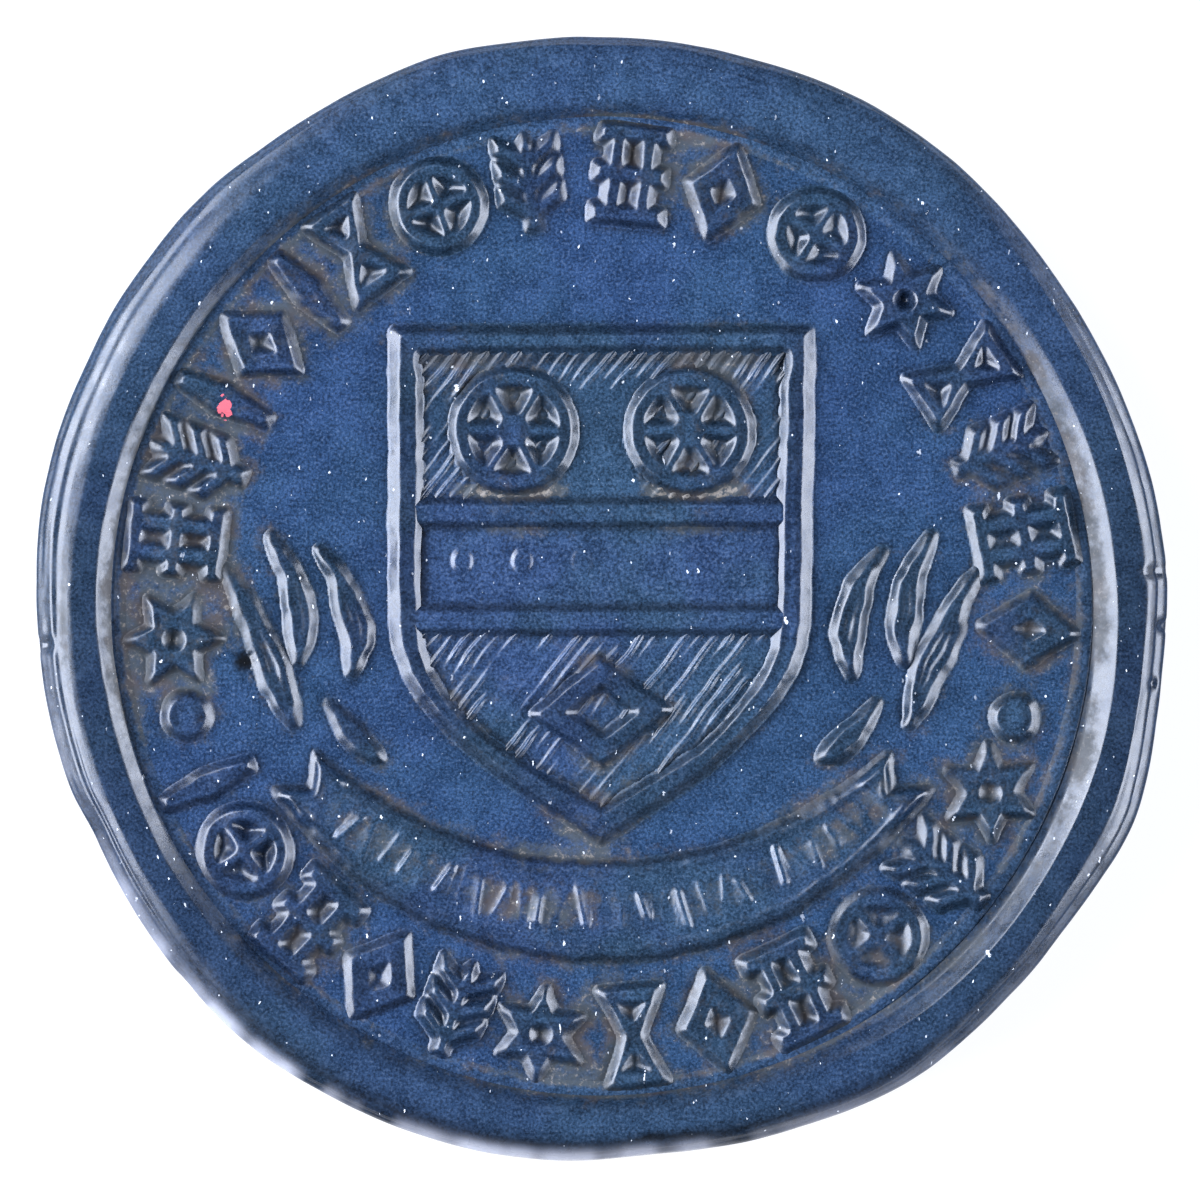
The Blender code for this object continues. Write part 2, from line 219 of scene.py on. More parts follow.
# Where dirt has settled: x, y, spread and strength, in mm from the axis
DIRTY_PLACES = (
    (-8.7, -0.8, 1.7, 0.9), (-8.6, 1.4, 1.5, 0.8), (-8.2, 3.1, 1.5, 0.8), (-7.3, 4.9, 1.2, 0.6),
    (-5.8, 6.7, 1.7, 0.9), (-3.9, 8.1, 1.2, 0.5), (1.3, 9.4, 1.5, 0.6), (2.7, 8.3, 0.8, 1.0),
    (8.1, 2.7, 1.3, 0.7), (8.7, -0.4, 1.4, 0.8), (-5.9, -6.8, 0.9, 1.0), (3.2, -8.1, 1.2, 0.8),
    (5.3, -8.0, 1.2, 0.8), (7.8, -3.7, 1.6, 0.9), (-0.2, -8.9, 1.6, 0.45), (-7.2, -5.2, 1.2, 0.5),
    (-1.8, 2.3, 1.0, 1.0), (1.9, 2.3, 1.0, 1.0), (-1.8, 4.3, 0.8, 0.8), (1.9, 4.3, 0.8, 0.8),
    (-0.2, -1.3, 0.7, 0.8), (0.0, -3.2, 0.8, 0.7), (-0.4, -5.0, 1.0, 1.0), (-9.6, -0.5, 1.6, 0.8),
    (-4.4, -4.4, 1.4, 0.7), (-1.8, -5.9, 1.3, 0.8), (2.2, -6.0, 1.2, 0.4), (4.7, -4.3, 1.3, 0.8),
    (-2.6, -1.6, 1.2, 0.5), (1.6, -2.2, 1.0, 0.4), (-3.0, 4.9, 0.8, 0.6), (2.4, 4.9, 1.2, 0.5),
    (1.0, 9.9, 1.3, 0.9), (0.0, -9.6, 3.0, 0.45), (6.0, -7.6, 1.4, 0.6),
)


def dirtiness(x, y):
    """0 on clean parts of the obverse, 1 where the recesses are full of dirt."""
    total = 0.10
    for place_x, place_y, spread, strength in DIRTY_PLACES:
        away = np.hypot(x - place_x * MM, y - place_y * MM) / (spread * MM)
        total = total + strength * np.exp(-away * away)
    return np.clip(total, 0.0, 1.0)


# -------- meshes

def turn_angles(steps):
    """Angles evenly round a circle, as a column, one for each row of a turned piece."""
    return np.arange(steps)[:, None] * math.tau / steps


def mesh_object(name, points, faces, shape, **looks):
    """A smooth mesh object; grime, painted shade and tone, and worn are numbers or arrays of the
    given shape.
    """
    mesh = bpy.data.meshes.new(name)
    mesh.from_pydata(points.tolist(), [], faces)
    mesh.update()
    mesh.shade_smooth()
    for key, default in (("grime", 0.0), ("tint", 1.0), ("worn", 0.0)):
        values = np.broadcast_to(looks.get(key, default), shape).ravel()
        layer = mesh.attributes.new(key, "FLOAT", "POINT")
        layer.data.foreach_set("value", np.asarray(values, np.float32))
    item = bpy.data.objects.new(name, mesh)
    bpy.context.scene.collection.objects.link(item)
    return item


def patch_piece(name, x, y, top, base, keep, grime, tint):
    """A closed slab over the kept cells of a grid, with a shaped top and a flat underside."""
    rows, columns = x.shape
    index = np.arange(rows * columns).reshape(rows, columns)
    corners = (index[:-1, :-1], index[:-1, 1:], index[1:, 1:], index[1:, :-1])
    cells = np.stack([corner[keep] for corner in corners], axis=1)
    used = np.unique(cells)
    count = len(used)
    renumber = np.full(rows * columns, -1)
    renumber[used] = np.arange(count)
    upper = renumber[cells]
    above = np.stack([grid.ravel()[used] for grid in (x, y, top)], axis=1)
    below = above.copy()
    below[:, 2] = base
    edges = np.concatenate([upper[:, [i, (i + 1) % 4]] for i in range(4)])
    code = edges[:, 0] * count + edges[:, 1]
    twin = edges[:, 1] * count + edges[:, 0]
    border = edges[~np.isin(code, twin)]
    start, end = border[:, 0], border[:, 1]
    walls = np.stack([end, start, start + count, end + count], axis=1)
    quads = np.concatenate([upper, upper[:, ::-1] + count, walls])
    points = np.concatenate([above, below])
    grime, tint = np.tile(grime.ravel()[used], 2), np.tile(tint.ravel()[used], 2)
    return mesh_object(name, points, quads.tolist(), grime.shape, grime=grime, tint=tint)


def kept_cells(distance, limit):
    """The cells wholly within a distance of the outline, with none that meet at one corner."""
    near = distance < limit
    keep = near[:-1, :-1] & near[:-1, 1:] & near[1:, 1:] & near[1:, :-1]
    for _ in range(3):
        a, b = keep[:-1, :-1], keep[:-1, 1:]
        c, d = keep[1:, :-1], keep[1:, 1:]
        rising = a & d & ~b & ~c
        falling = b & c & ~a & ~d
        keep[:-1, 1:] |= rising
        keep[:-1, :-1] |= falling
    return keep


def turned_quads(rows, columns):
    """The four corners of each face of a closed ring, whose rows are closed sections."""
    index = np.arange(rows * columns).reshape(rows, columns)
    next_row = np.roll(index, -1, axis=0)
    across = np.roll(index, -1, axis=1)
    both = np.roll(next_row, -1, axis=1)
    return np.stack([index, across, both, next_row], axis=-1)


def turned_points(angle, radius):
    """x and y of points at those radii, with a row for each angle."""
    return radius * np.cos(angle), radius * np.sin(angle)


def turned_piece(name, angle, radius, height, **looks):
    """A closed ring from one row of radii and heights for each angle."""
    points = np.stack([*turned_points(angle, radius), height], axis=-1).reshape(-1, 3)
    faces = turned_quads(*radius.shape).reshape(-1, 4).tolist()
    return mesh_object(name, points, faces, radius.shape, **looks)


def disc_faces(rows, columns):
    """Faces of a turned solid whose first and last columns are caps."""
    quads = turned_quads(rows, columns)
    caps = [quads[:, 0, 0].tolist(), quads[::-1, -1, 0].tolist()]
    return quads[:, :-1].reshape(-1, 4).tolist() + caps


def disc_piece(name, x, y, height, **looks):
    """A closed disc from the points of turned_points and their heights."""
    points = np.stack([x, y, height], axis=-1).reshape(-1, 3)
    return mesh_object(name, points, disc_faces(*x.shape), x.shape, **looks)


# -------- ground under the marks

PIT_PLACE = (-7.30 * MM, -1.14 * MM)
PIT_RADIUS = 0.21 * MM
PIT_DEPTH = 0.035 * MM


def pit(x, y):
    """1 inside the chipped pit and 0 elsewhere, with a ragged edge."""
    ragged = 1.0 + 0.25 * fractal_noise(x, y, 0.12 * MM, 83, 2)
    away = np.hypot(x - PIT_PLACE[0], y - PIT_PLACE[1]) / PIT_RADIUS * ragged
    return np.exp(-np.minimum(away, 3.0) ** 4)


def field_height(x, y):
    """The slightly uneven floor of the obverse, with its chipped pit."""
    wave = fractal_noise(x, y, 3.0 * MM, 3, 3)
    return OBVERSE_FIELD + 0.0035 * MM * wave - PIT_DEPTH * pit(x, y)


def shield_ground(x, y):
    """The floor, raised inside the middle line of the shield's border."""
    inside = signed_distance(x, y, SHIELD_HOLE) < 0.5 * SHIELD_BORDER
    return field_height(x, y) + np.where(inside, PANEL_LEVEL - OBVERSE_FIELD, 0.0)


# -------- raised marks

def relief_distance(x, y, names):
    """Distance from points of a floor to the nearest of those marks, or FAR."""
    nearest = np.full(x.shape, FAR)
    for name in names:
        low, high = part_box(name)
        near = (x > low.x - FAR) & (x < high.x + FAR)
        near &= (y > low.y - FAR) & (y < high.y + FAR)
        if near.any():
            distance = np.maximum(signed_distance(x[near], y[near], OUTLINES[name]), 0.0)
            nearest[near] = np.minimum(nearest[near], distance)
    return nearest


def recess(gap):
    """1 close to a mark, where dirt stays, falling to 0 away from it."""
    return hump(gap, 0.42 * MM)


def corner_shade(gap):
    """The darker line along the foot of a mark's wall."""
    return 1.0 - 0.55 * hump(np.maximum(gap - 0.5 * WALL_OUT, 0.0), 0.10 * MM)


def wall(distance, wall_in, wall_out):
    """0 outside an outline and 1 inside it, with a drafted wall and small fillets."""
    t = np.clip((wall_out - distance) / (wall_in + wall_out), 0.0, 1.0)
    slope = 1.0 / (1.0 - FILLET)
    foot = 0.5 * slope * t * t / FILLET
    middle = slope * (t - 0.5 * FILLET)
    top = 1.0 - 0.5 * slope * (1.0 - t) ** 2 / FILLET
    return np.where(t < FILLET, foot, np.where(t > 1.0 - FILLET, top, middle))


def crest_shade(distance, wall_in, cell):
    """The darker margin of a flat top, strongest beside walls that face left or right."""
    rise_y, rise_x = np.gradient(distance, cell)
    sideways = np.abs(rise_x) / np.maximum(np.hypot(rise_x, rise_y), 0.1)
    margin = hump(distance + wall_in + 0.05 * MM, 0.12 * MM)
    return 1.0 - (0.12 + 0.50 * sideways) * margin * (distance < -0.6 * wall_in)


def warped(x, y, amount, seed, wave=0.55 * MM):
    """Small uneven shifts, like those of a hand-cut die."""
    shift_x = amount * fractal_noise(x, y, wave, seed, 2)
    shift_y = amount * fractal_noise(x, y, wave, seed + 50, 2)
    return x + shift_x, y + shift_y


def softened(grid, passes):
    """A grid blurred both ways in turn, which rounds the corners of an outline."""
    for _ in range(2 * passes):
        wide = np.pad(grid, ((1, 1), (0, 0)), "edge")
        grid = (0.25 * wide[:-2] + 0.5 * grid + 0.25 * wide[2:]).T
    return grid


def swayed(u, v, centre, sway):
    """Coordinates in which an outline appears turned, stretched and shifted."""
    turn, stretch_x, stretch_y, shift_x, shift_y = sway
    du = (u - centre[0] - shift_x) / stretch_x
    dv = (v - centre[1] - shift_y) / stretch_y
    turned_u = du * math.cos(turn) + dv * math.sin(turn)
    turned_v = dv * math.cos(turn) - du * math.sin(turn)
    return centre[0] + turned_u, centre[1] + turned_v


def plain(x, y, distance):
    """No finish: nothing added to the crest and no dirt on it."""
    return 0.0, 0.0


def mark_distance(x, y, name, seed, wobble, sway, soften):
    """Distance to a mark's outline, which wavers, may be askew, and has softened corners."""
    u, v = warped(x, y, wobble, seed)
    u, v = warped(u, v, 0.55 * wobble, seed + 23, 0.15 * MM)
    if sway is not None:
        low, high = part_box(name)
        u, v = swayed(u, v, (0.5 * (low.x + high.x), 0.5 * (low.y + high.y)), sway)
    return softened(signed_distance(u, v, OUTLINES[name]), soften)


def mark_crest(x, y, level, seed, wear):
    """Height of a mark's worn and uneven top."""
    worn = wear * (0.5 + 0.5 * fractal_noise(x, y, 1.2 * MM, seed + 9, 2))
    uneven = 0.006 * MM * fractal_noise(x, y, 0.30 * MM, seed + 4, 3)
    crest = OBVERSE_FIELD + (level - OBVERSE_FIELD) * (1.0 - worn) + uneven
    return crest - 2.0 * PIT_DEPTH * pit(x, y)


def mark_looks(x, y, distance, share, silt, wall_in, cell, neighbours):
    """Dirt and painted shade of a mark's walls and top, also where its neighbours stand on it, and
    the pit's dark colour.
    """
    grime = np.clip(1.0 - 1.2 * share, 0.0, 1.0) + CREST_GRIME * share
    grime = np.maximum(grime, silt * share)
    # Painted shade: walls darker than the crest, and a darker margin on the crest beside walls that
    # face left or right
    tint = 1.0 - WALL_SHADE * np.sqrt(4.0 * share * (1.0 - share))
    tint = tint * softened(crest_shade(distance, wall_in, cell), 2)
    if neighbours:
        gap = relief_distance(x, y, neighbours)
        grime = np.maximum(grime, recess(gap))
        # Painted shade along the foot of each neighbour's wall
        tint = tint * corner_shade(gap)
    hole = pit(x, y)
    return grime * dirtiness(x, y) * (1.0 - hole), tint * (1.0 - PIT_SHADE * hole)


def raised_piece(name, ground=field_height, seed=0, wobble=0.020 * MM, sway=None, grow=0.0,
                 walls=(WALL_IN, WALL_OUT), wear=0.12, finish=plain, cell=CELL, soften=3,
                 neighbours=(), reshape=None, brightness=1.0):
    """A drafted, rounded relief in place of a flat-walled node.

    ground gives the floor under it. wobble, sway, grow, soften and reshape alter its outline.
    finish gives what is added to its top, and the dirt there. neighbours stand on it or beside it.
    """
    low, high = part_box(name)
    wall_in, wall_out = walls
    reach = wall_out + PATCH_MARGIN
    margin = reach + grow + GRID_MARGIN
    x, y = np.meshgrid(
        np.arange(low.x - margin, high.x + margin, cell),
        np.arange(low.y - margin, high.y + margin, cell),
    )
    distance = mark_distance(x, y, name, seed, wobble, sway, soften) - grow
    if reshape is not None:
        distance = reshape(x, y, distance)
    share = wall(distance, wall_in, wall_out)
    rise, silt = finish(x, y, distance)
    floor = ground(x, y)
    top = floor + (mark_crest(x, y, high.z, seed, wear) - floor) * share + rise
    skirt = np.maximum(distance - wall_out - cell, 0.0)
    top = top - SINK * (distance > wall_out - 0.3 * cell) - 0.9 * skirt
    grime, tint = mark_looks(x, y, distance, share, silt, wall_in, cell, neighbours)
    keep = kept_cells(distance, reach)
    base = OBVERSE_FIELD - PATCH_DEPTH
    # The piece's brightness times its painted shade and tone
    piece = patch_piece(name + "_relief", x, y, top, base, keep, grime, brightness * tint)
    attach(piece, "root")
    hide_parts(name)
    return piece


# Hatching: distance between lines, their slant, where the extra strokes along the top start,
# and the ledge above the band where dirt lies thick
HATCH_PITCH = 0.25 * MM
HATCH_SLOPE = math.radians(52.0)
HATCH_STRIP = 4.62 * MM
LEDGE_LEVEL = 2.33 * MM
LEDGE_MIDDLE = 1.85 * MM


def hatching(x, y, distance):
    """Slanting cut lines with uneven strength, and dirt between them and on the ledge."""
    along = x * math.cos(HATCH_SLOPE) + y * math.sin(HATCH_SLOPE)
    across = x * math.sin(HATCH_SLOPE) - y * math.cos(HATCH_SLOPE)
    across = across + 0.05 * MM * fractal_noise(x, y, 0.9 * MM, 71, 2)
    ridge = 0.5 + 0.5 * np.cos(math.tau * across / HATCH_PITCH)
    line = np.floor(across / HATCH_PITCH + 0.5)
    strength = 0.50 + 0.62 * fractal_noise(along / (1.1 * MM), line * 7.3, 1.0, 72, 2)
    strip = soft_step(y - HATCH_STRIP, 0.05 * MM)
    strength = strength + 0.50 * strip
    patches = 0.86 + 0.5 * value_noise(x / (1.6 * MM), y / (1.6 * MM), 73)
    calm = hump(x, 0.75 * MM, 4) * (y > 1.0 * MM) * (y < 4.4 * MM)
    ridges = ridge ** 2.2 * np.clip(strength * patches, 0.0, 0.9) * (1.0 - calm)
    silt = 0.45 * (1.0 - ridges) * (1.0 - calm) * (1.0 - strip)
    ledge = hump(y - LEDGE_LEVEL, 0.18 * MM, 4) * hump(np.abs(x) - LEDGE_MIDDLE, 1.25 * MM, 6)
    return 0.080 * MM * ridges, silt + 1.8 * ledge


def sleepers(x, y, distance):
    """A row of faint round studs along the band, fading to the right."""
    low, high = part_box("band_panel")
    pitch = 1.22 * MM
    first = low.x + 0.82 * MM
    middle = 0.5 * (low.y + high.y) + 0.12 * MM
    number = np.round((x - first) / pitch)
    away = np.hypot(x - first - number * pitch, (y - middle) * 0.85)
    stud = hump(away, 0.21 * MM, 6)
    fade = np.clip(1.2 - 0.35 * number, 0.15, 1.0)
    ends = (number > -0.5) & (number < 5.5)
    return 0.08 * MM * stud * fade * ends, 0.0


# The scroll's middle line: its centre's y, its radius, the angle from its lowest point at which
# its ends fold back, in degrees, and the angle between strokes
SCROLL_CENTRE = 2.04 * MM
SCROLL_RADIUS = 8.27 * MM
FOLD_ANGLE = 43.0
STROKE_TURN = math.radians(2.9)


def scroll_ticks(x, y, distance):
    """The scroll's raised lips, folded ends, and short strokes where the motto would be."""
    angle = np.arctan2(x, SCROLL_CENTRE - y)
    radius = np.hypot(x, SCROLL_CENTRE - y)
    number = np.round(angle / STROKE_TURN)
    across = (angle - number * STROKE_TURN) * SCROLL_RADIUS
    across = across + 0.26 * np.sin(number * 2.3 + 0.6) * (radius - SCROLL_RADIUS)
    across = across * np.sign(np.sin(number * 4.4) + 0.4)
    stroke = np.exp(-np.maximum(across, 0.0) / (0.10 * MM))
    stroke = stroke * soft_step(across, 0.034 * MM)
    reach = 0.42 * MM * (0.80 + 0.20 * np.sin(number * 5.1))
    middle = SCROLL_RADIUS + 0.10 * MM * np.sin(number * 1.9)
    ends = soft_step(reach - np.abs(radius - middle), 0.03 * MM)
    strength = 0.62 + 0.38 * np.sin(number * 3.7)
    inside = (np.abs(number) > 0.5) & (np.abs(number) < 13.5)
    ticks = 0.19 * MM * stroke * ends * strength * inside
    lip = 0.045 * MM * hump(distance + 0.17 * MM, 0.075 * MM)
    fold = 0.09 * MM * soft_step(np.degrees(np.abs(angle)) - FOLD_ANGLE, 0.35)
    silt = hump(radius - SCROLL_RADIUS, 0.48 * MM, 4) * (1.0 - stroke)
    return ticks + lip + fold * np.clip(-distance / (0.1 * MM), 0.0, 1.0), 0.9 * silt


def veined(x, y, distance):
    """A cut line that follows a leaf's edge inside it."""
    cut_line = hump(distance + 0.23 * MM, 0.05 * MM)
    return -0.06 * MM * cut_line, cut_line


def make_marks():
    """The marks of the legend and the two pellets, each set a little askew."""
    random = np.random.default_rng(11)
    pieces = []
    for number, name in enumerate(sorted(OUTLINES)):
        if not name.startswith(("legend", "pellet")):
            continue
        turn = math.radians(random.uniform(-2.5, 2.5))
        size = random.uniform(0.98, 1.05)
        sway = (turn, size, size, *(random.uniform(-0.05, 0.05, 2) * MM))
        wear = random.uniform(0.45, 0.75)
        pieces.append(raised_piece(name, seed=100 + 7 * number, sway=sway, wear=wear))
    return pieces


def make_sprays():
    """The leaves beside the shield."""
    names = [name for name in sorted(OUTLINES) if name.startswith("spray")]
    return [
        raised_piece(name, seed=400 + 7 * number, wobble=0.05 * MM, wear=0.60, soften=8,
                     finish=veined)
        for number, name in enumerate(names)
    ]


SHIELD_DEVICES = ("wheel_left", "wheel_right", "lozenge")
SHIELD_LINES = ("shield_border", "band_bar_upper", "band_bar_lower")


def leaning_border(x, y, distance):
    """The border's distances, with a narrower wall round its hole, and a leaning right side."""
    inner = signed_distance(x, y, SHIELD_HOLE) < 0.5 * SHIELD_BORDER
    shift = 0.075 * MM * (1.0 + 0.6 * value_noise(x / (2.2 * MM), y / (2.2 * MM), 77))
    shift = shift + 0.075 * MM * np.clip((y / MM - 4.6) / 0.3, 0.0, 1.0)
    lean = 0.10 * MM * np.clip(x / MM - 2.0, 0.0, 1.0) * np.clip((5.0 - y / MM) / 6.0, 0.0, 1.0)
    return np.where(inner, 1.35 * (distance + shift - 1.5 * lean), distance + lean)


def make_shield():
    """The shield's border, its panels, tucked under their neighbours, its bars and devices."""
    tuck = 0.20 * MM
    around = SHIELD_DEVICES + SHIELD_LINES
    pieces = [
        raised_piece("shield_border", shield_ground, 500, 0.016 * MM,
                     walls=(0.11 * MM, 0.18 * MM), wear=0.25, soften=2,
                     reshape=leaning_border)
    ]
    for name in ("hatch_panel_upper", "hatch_panel_lower"):
        pieces.append(raised_piece(name, seed=510, wobble=0.0, grow=tuck, wear=0.0,
                                   finish=hatching, cell=HATCH_CELL, neighbours=around))
    pieces.append(raised_piece("band_panel", seed=520, wobble=0.0, grow=tuck, wear=0.0,
                               finish=sleepers, neighbours=around, brightness=0.93))
    for number, name in enumerate(SHIELD_LINES[1:]):
        sway = (0.0, 1.09, 1.06, 0.0, 0.0)
        pieces.append(raised_piece(name, shield_ground, 530 + 10 * number, 0.012 * MM, sway))
    for number, name in enumerate(SHIELD_DEVICES):
        sway = (math.radians(1.5 * (number - 1)), 1.0, 1.0, 0.0, 0.0)
        pieces.append(raised_piece(name, shield_ground, 560 + 10 * number, sway=sway))
    return pieces


def make_scroll():
    """The ribbon below the shield."""
    return raised_piece("scroll", seed=600, wobble=0.03 * MM, wear=0.3, finish=scroll_ticks,
                        brightness=0.87)


# -------- blank

# The worn outer edge: angle in degrees, how far it stands out in mm, and width in degrees
EDGE_BUMPS = (
    (35.0, -0.16, 18.0), (105.0, 0.06, 14.0), (147.0, 0.08, 25.0), (210.0, -0.09, 8.0),
    (275.0, -0.15, 12.0), (303.0, 0.14, 9.0), (338.0, 0.21, 10.0), (2.0, 0.05, 6.0),
    (50.0, 0.05, 24.0), (134.0, 0.05, 5.0), (169.0, 0.07, 9.0), (243.0, 0.04, 24.0),
    (266.0, 0.04, 5.0), (317.0, 0.07, 10.0), (75.0, -0.05, 8.0), (105.0, 0.05, 7.0),
    (204.0, -0.06, 3.0), (233.0, 0.05, 6.0), (340.0, 0.04, 7.0), (100.0, -0.03, 4.0),
)
EDGE_OFFSET = 0.11 * MM

# Sections of the rim: each holds round an angle, over a width, in degrees. It runs from the
# foot of the inner wall to the parting line, as radius and height above the middle in mm, and
# the same corners come in the same order.
PARTING_LINE = ((11.490, 0.110), (11.500, 0.055))
RIM_SECTIONS = {
    (189.0, 34.0): (
        (9.870, 0.600), (9.940, 0.690), (10.03, 0.775), (10.16, 0.885), (10.27, 0.968),
        (10.32, 0.994), (10.60, 1.000), (10.80, 0.993), (10.91, 0.952), (11.04, 0.888),
        (11.08, 0.834), (11.20, 0.812), (11.29, 0.714), (11.34, 0.661), (11.39, 0.608),
        (11.47, 0.520), (11.50, 0.440), *PARTING_LINE,
    ),
    (149.0, 13.0): (
        (9.870, 0.600), (9.940, 0.690), (10.03, 0.775), (10.16, 0.885), (10.26, 0.968),
        (10.32, 0.994), (10.60, 1.000), (10.77, 0.994), (10.87, 0.955), (11.02, 0.882),
        (11.09, 0.846), (11.16, 0.810), (11.24, 0.768), (11.29, 0.716), (11.35, 0.642),
        (11.45, 0.520), (11.50, 0.400), *PARTING_LINE,
    ),
    (327.0, 20.0): (
        (9.870, 0.610), (9.990, 0.660), (10.24, 0.700), (10.34, 0.784), (10.46, 0.890),
        (10.58, 0.992), (10.70, 1.000), (10.90, 1.000), (11.00, 0.994), (11.08, 0.980),
        (11.11, 0.955), (11.17, 0.905), (11.26, 0.815), (11.29, 0.750), (11.32, 0.735),
        (11.44, 0.620), (11.50, 0.500), *PARTING_LINE,
    ),
    (0.0, 28.0): (
        (9.870, 0.610), (9.940, 0.650), (10.02, 0.698), (10.18, 0.795), (10.34, 0.895),
        (10.48, 0.992), (10.70, 1.000), (10.90, 1.000), (11.00, 0.994), (11.07, 0.980),
        (11.10, 0.955), (11.16, 0.905), (11.25, 0.815), (11.28, 0.750), (11.31, 0.735),
        (11.44, 0.620), (11.50, 0.500), *PARTING_LINE,
    ),
    (85.0, 40.0): (
        (9.870, 0.600), (9.940, 0.670), (10.03, 0.765), (10.17, 0.920), (10.25, 0.965),
        (10.40, 0.992), (10.60, 1.000), (10.80, 0.998), (10.95, 0.985), (11.08, 0.965),
        (11.12, 0.955), (11.18, 0.935), (11.28, 0.890), (11.32, 0.865), (11.36, 0.835),
        (11.44, 0.740), (11.48, 0.620), *PARTING_LINE,
    ),
    (266.0, 30.0): (
        (9.870, 0.600), (9.940, 0.670), (10.03, 0.765), (10.17, 0.920), (10.26, 0.965),
        (10.38, 0.994), (10.60, 1.000), (10.78, 0.996), (10.95, 0.978), (11.07, 0.950),
        (11.16, 0.925), (11.25, 0.892), (11.32, 0.855), (11.36, 0.800), (11.39, 0.740),
        (11.44, 0.650), (11.48, 0.500), (11.500, 0.110), (11.500, 0.045),
    ),
}

# The corners of a section, how far each follows the worn outer edge, and how far it wanders in mm
RIM_CORNERS = 19
RIM_FOLLOW = np.interp(np.arange(RIM_CORNERS), (6, 12), (0.0, 1.0))
RIM_WANDER = (
    0.0, 0.006, 0.010, 0.014, 0.014, 0.010, 0.0, 0.016, 0.020, 0.020,
    0.018, 0.018, 0.022, 0.022, 0.022, 0.014, 0.010, 0.006, 0.006,
)

# Where the inner wall stands off its circle: angle, width in degrees and distance in mm
WALL_SHIFTS = (
    (25.0, 14.0, -0.05), (196.0, 12.0, -0.06), (180.0, 7.0, 0.04),
    (150.0, 14.0, -0.05), (345.0, 14.0, 0.06),
)

# Nicks: angle, width in degrees, radius, width across and depth in mm
RIM_NICKS = (
    (3.6, 0.6, 11.30, 0.28, 0.09), (-2.0, 0.5, 11.46, 0.10, 0.12), (-8.0, 0.5, 11.36, 0.08, 0.10),
    (184.0, 0.7, 11.38, 0.16, 0.14), (275.5, 1.6, 10.95, 0.12, 0.05),
    (279.0, 1.4, 11.00, 0.10, 0.04), (222.0, 1.2, 11.40, 0.12, 0.05),
)


def edge_shift(angle):
    """How far the outer edge stands out of its circle."""
    total = EDGE_OFFSET * np.sin(angle)
    for centre, rise, width in EDGE_BUMPS:
        total = total + rise * MM * bell(angle, centre, width)
    return total + 0.012 * MM * round_noise(angle, 60, 21)


def rim_corners(angle):
    """Radius and height of each corner of the upper section, at each angle."""
    shares = [bell(angle, *place) for place in RIM_SECTIONS]
    total = sum(shares)
    blend = 0.0
    for share, section in zip(shares, RIM_SECTIONS.values()):
        blend = blend + (share / total)[..., None] * np.array(section)
    radius = blend[..., 0]
    for centre, width, amount in WALL_SHIFTS:
        radius[:, 2:6] += amount * bell(angle, centre, width)
    return radius * MM, blend[..., 1] * MM


def section_weights(radius, height, column_widths):
    """Weights that spread a closed section's corners into finer columns, rounded a little."""
    count = len(radius)
    columns = []
    for i in range(count):
        after = (i + 1) % count
        gap = math.hypot(radius[after] - radius[i], height[after] - height[i])
        pieces = max(1, round(gap / column_widths[i]))
        for j in range(pieces):
            column = np.zeros(count)
            column[i] = 1.0 - j / pieces
            column[after] += j / pieces
            columns.append(column)
    weights = np.array(columns)
    before, behind = np.roll(weights, 1, axis=0), np.roll(weights, -1, axis=0)
    return 0.25 * before + 0.5 * weights + 0.25 * behind


def wall_dust(angle, radius):
    """Dirt low on the rim's inner wall, thickest at the left and the right."""
    right = bell(angle, 350.0, 45.0)
    strength = 0.42 + 0.55 * bell(angle, 179.0, 8.0) + 0.50 * right
    strength = strength * (0.80 + 0.55 * round_noise(angle, 80, 23))
    middle = (10.10 + 0.20 * bell(angle, 335.0, 22.0)) * MM
    spread = (0.14 + 0.11 * right) * MM
    return strength * hump(radius - middle, spread)


def rim_tint(angle, radius, height):
    """The rim's painted shade: darker left and right, on slopes, and in a line near its edge, with
    patches of tone.
    """
    rise = np.sin(angle)
    patches = 0.06 * round_noise(angle, 12, 17)
    level = 0.50 + 0.27 * rise * rise + 0.23 * np.maximum(rise, 0.0) + patches
    run, drop = np.gradient(radius, axis=1), np.gradient(height, axis=1)
    slope = np.clip(2.2 * np.abs(drop) / np.hypot(run, drop), 0.0, 1.0)
    outer = radius > 10.7 * MM
    shade = 0.30 + 0.45 * bell(angle, 266.0, 42.0) * outer
    gap = radius.max(axis=1, keepdims=True) - radius
    line = bell(angle, 255.0, 40.0) * hump(gap - 0.36 * MM, 0.07 * MM)
    return level * (1.0 - shade * slope) * (1.0 - 0.45 * line)


def flash_wear(angle, radius, height):
    """The whitened, streaky flash above the parting line, round the foot of the token."""
    streaks = np.clip(0.70 + 0.75 * round_noise(angle, 110, 19), 0.0, 1.0)
    strength = 0.9 * bell(angle, 252.0, 40.0) * streaks
    gap = radius.max(axis=1, keepdims=True) - radius
    above = np.clip((height - 1.15 * MM) / (0.30 * MM), 0.0, 1.0)
    return strength * hump(gap, 0.21 * MM, 2.5) * above


